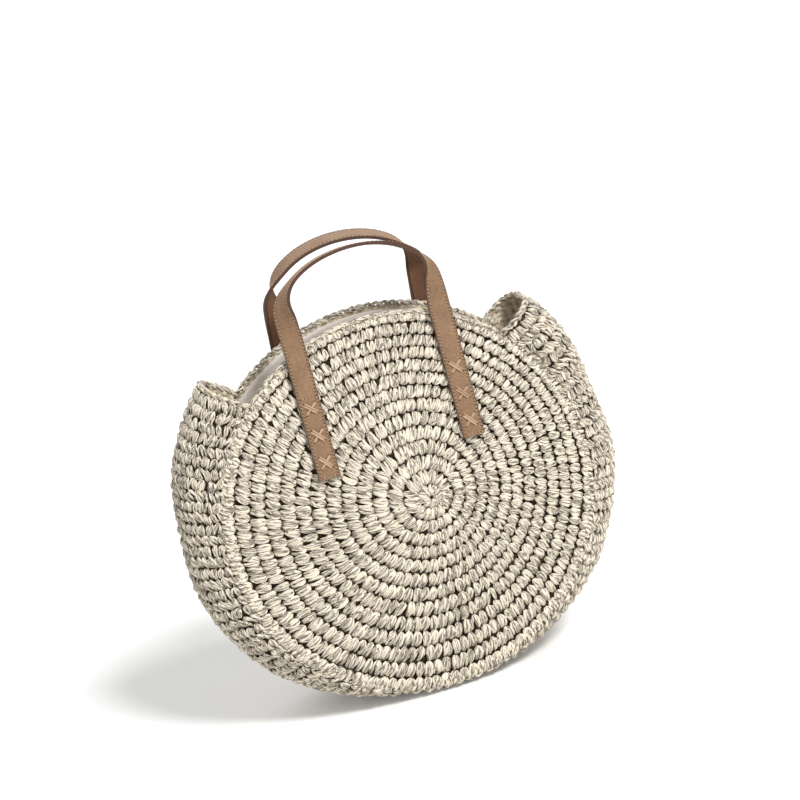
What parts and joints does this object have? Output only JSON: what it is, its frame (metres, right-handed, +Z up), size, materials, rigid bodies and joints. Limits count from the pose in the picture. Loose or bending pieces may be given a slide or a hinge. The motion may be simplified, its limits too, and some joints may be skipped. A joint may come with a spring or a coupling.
{
  "type": "round crocheted tote bag",
  "caption": "Round crocheted straw tote: domed panels on a gusset that ends in ears beside the open mouth, a cloth lining, and sewn leather strap handles that fold down outside.",
  "frame": {"origin": "middle of the flat sole, under the middle of the bag", "axes": "+Z up; the front panel faces -Y; +X to the right seen from the front"},
  "size_m": [0.427, 0.1382, 0.44],
  "materials": {
    "straw_crochet": "cream paper-straw yarn, crocheted, satin",
    "straw_edging": "cream paper-straw yarn, chain stitch, satin",
    "lining_cloth": "plain woven cotton, matt",
    "strap_leather": "tan smooth leather, fine grain, satin, dark painted edges",
    "strap_backing": "dark brown leather, matt",
    "lacing_thread": "waxed tan lacing"
  },
  "bodies": {
    "bag": {"back_left_cross_stitches": "lacing_thread", "back_left_tab": "strap_leather", "back_left_tab_backing": "strap_backing", "back_lining": "lining_cloth", "back_panel": "straw_crochet", "back_right_cross_stitches": "lacing_thread", "back_right_tab": "strap_leather", "back_right_tab_backing": "strap_backing", "back_rim_edging": "straw_edging", "back_seam_cord": "straw_edging", "front_left_cross_stitches": "lacing_thread", "front_left_tab": "strap_leather", "front_left_tab_backing": "strap_backing", "front_lining": "lining_cloth", "front_panel": "straw_crochet", "front_right_cross_stitches": "lacing_thread", "front_right_tab": "strap_leather", "front_right_tab_backing": "strap_backing", "front_rim_edging": "straw_edging", "front_seam_cord": "straw_edging", "gusset": "straw_crochet", "gusset_lining": "lining_cloth", "left_ear_edging": "straw_edging", "right_ear_edging": "straw_edging"},
    "front_handle": {"front_handle_strap": "strap_leather", "front_handle_backing": "strap_backing"},
    "back_handle": {"back_handle_strap": "strap_leather", "back_handle_backing": "strap_backing"}
  },
  "joints": [
    {"name": "front_handle_swing", "type": "hinge", "parent": "bag", "child": "front_handle", "pos_m": [0, -0.03992, 0.31758], "axis": [1, 0, 0], "range_deg": [0, 150]},
    {"name": "back_handle_swing", "type": "hinge", "parent": "bag", "child": "back_handle", "pos_m": [0, 0.03992, 0.31758], "axis": [1, 0, 0], "range_deg": [-150, 0]}
  ]
}
